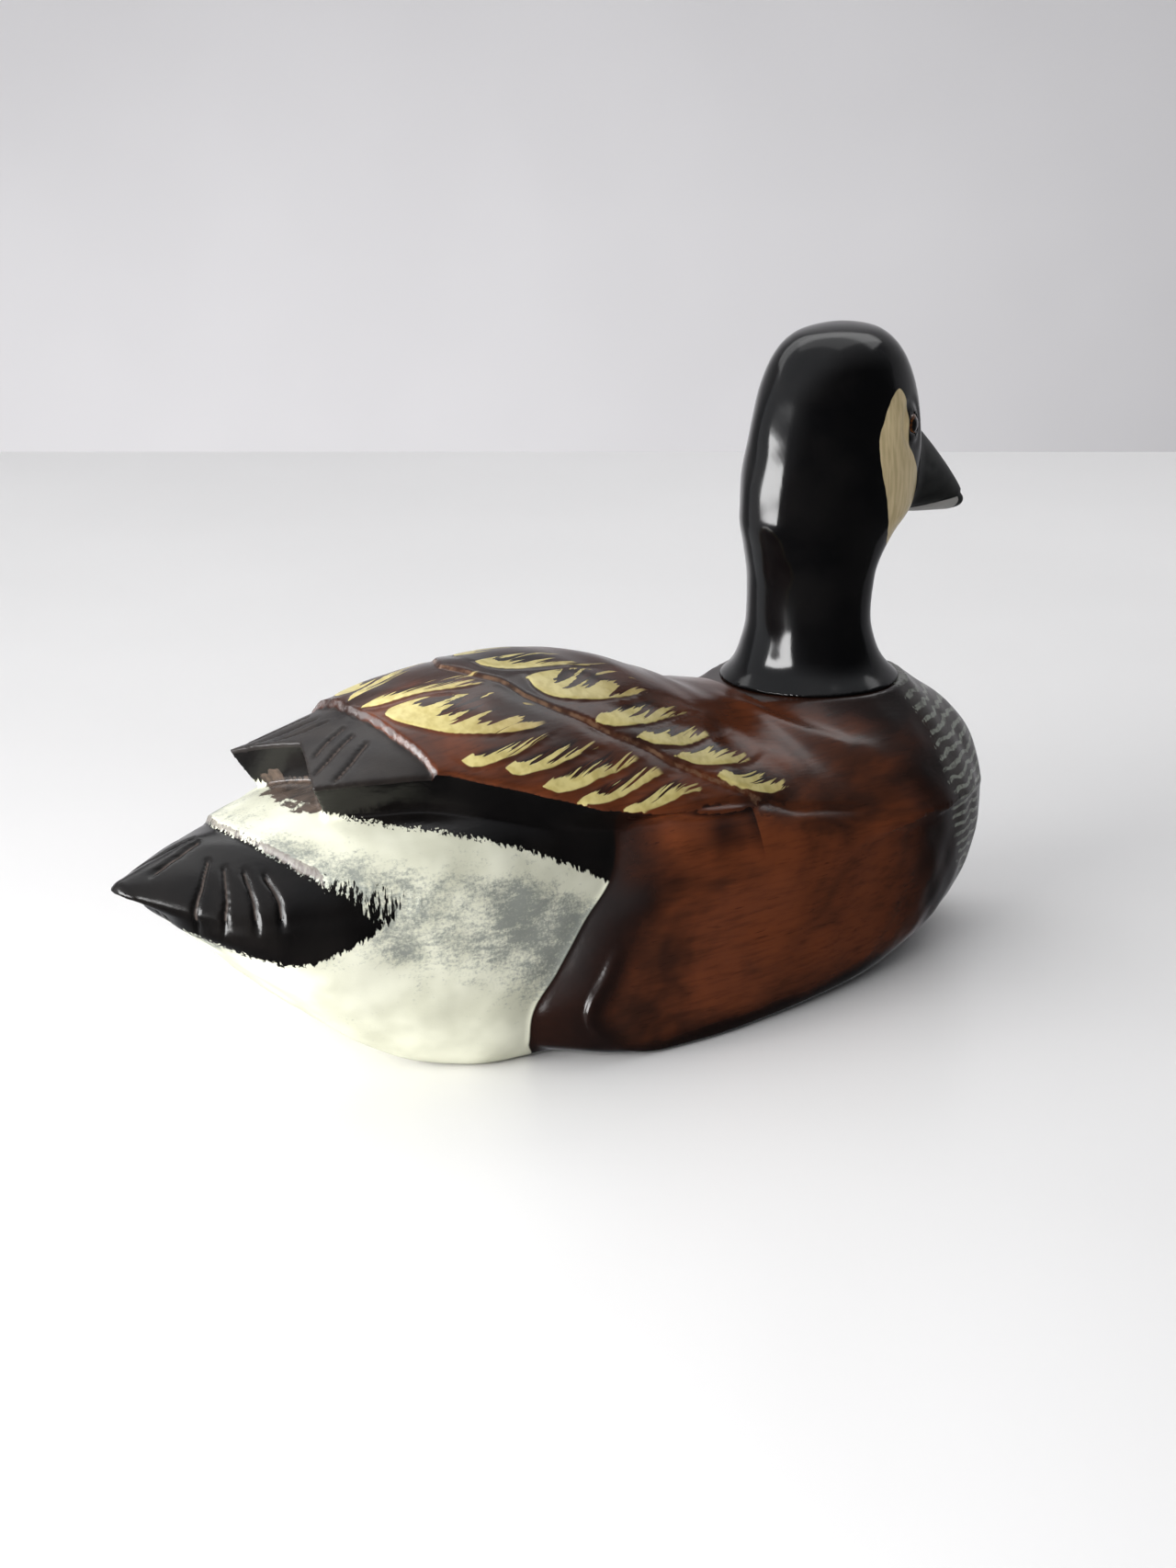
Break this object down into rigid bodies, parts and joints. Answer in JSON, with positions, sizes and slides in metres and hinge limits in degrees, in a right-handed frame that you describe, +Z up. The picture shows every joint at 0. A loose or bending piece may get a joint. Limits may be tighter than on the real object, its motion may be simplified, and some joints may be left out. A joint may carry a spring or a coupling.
{
  "type": "duck decoy",
  "caption": "Carved and painted hollow wooden duck decoy with a turning head, inlet ballast and a line ring under the breast.",
  "frame": {"origin": "middle of the flat base on the table, under the middle of the whole decoy's box", "axes": "+X towards the bill, +Y to the decoy's left, +Z up"},
  "size_m": [0.248, 0.091, 0.1528],
  "materials": {
    "body_paint": "glossy lacquered paint over carved wood",
    "head_paint": "glossy black lacquer with a cream cheek patch",
    "bare_wood": "planed bare wood, lightly oiled",
    "seal_rubber": "matte black rubber bead",
    "brass": "worn brass",
    "lead": "dull cast lead",
    "steel": "zinc plated steel",
    "eye_glass": "polished brown glass with a black pupil",
    "putty": "dark bedding putty",
    "leather": "waxed leather"
  },
  "bodies": {
    "body": {"body_shell": "body_paint", "bottom_board": "bare_wood", "board_seal": "seal_rubber", "board_screws": "brass", "ballast_weight": "lead", "ballast_screws": "steel", "bolt_access_plug": "bare_wood", "line_staple": "brass"},
    "head": {"head": "head_paint", "right_eye": "eye_glass", "left_eye": "eye_glass", "eye_putty": "putty", "friction_washer": "leather", "neck_bolt": "steel", "shelf_washer": "steel", "spring_washer": "steel", "lock_nut": "steel"},
    "ring": {"line_ring": "brass"}
  },
  "joints": [
    {"name": "head_turn", "type": "hinge", "parent": "body", "child": "head", "pos_m": [0.068, 0, 0.067], "axis": [0, 0, 1], "continuous": true},
    {"name": "ring_swing", "type": "hinge", "parent": "body", "child": "ring", "pos_m": [0.089, 0, 0.01], "axis": [0, 1, 0], "range_deg": [-90, 90]}
  ]
}
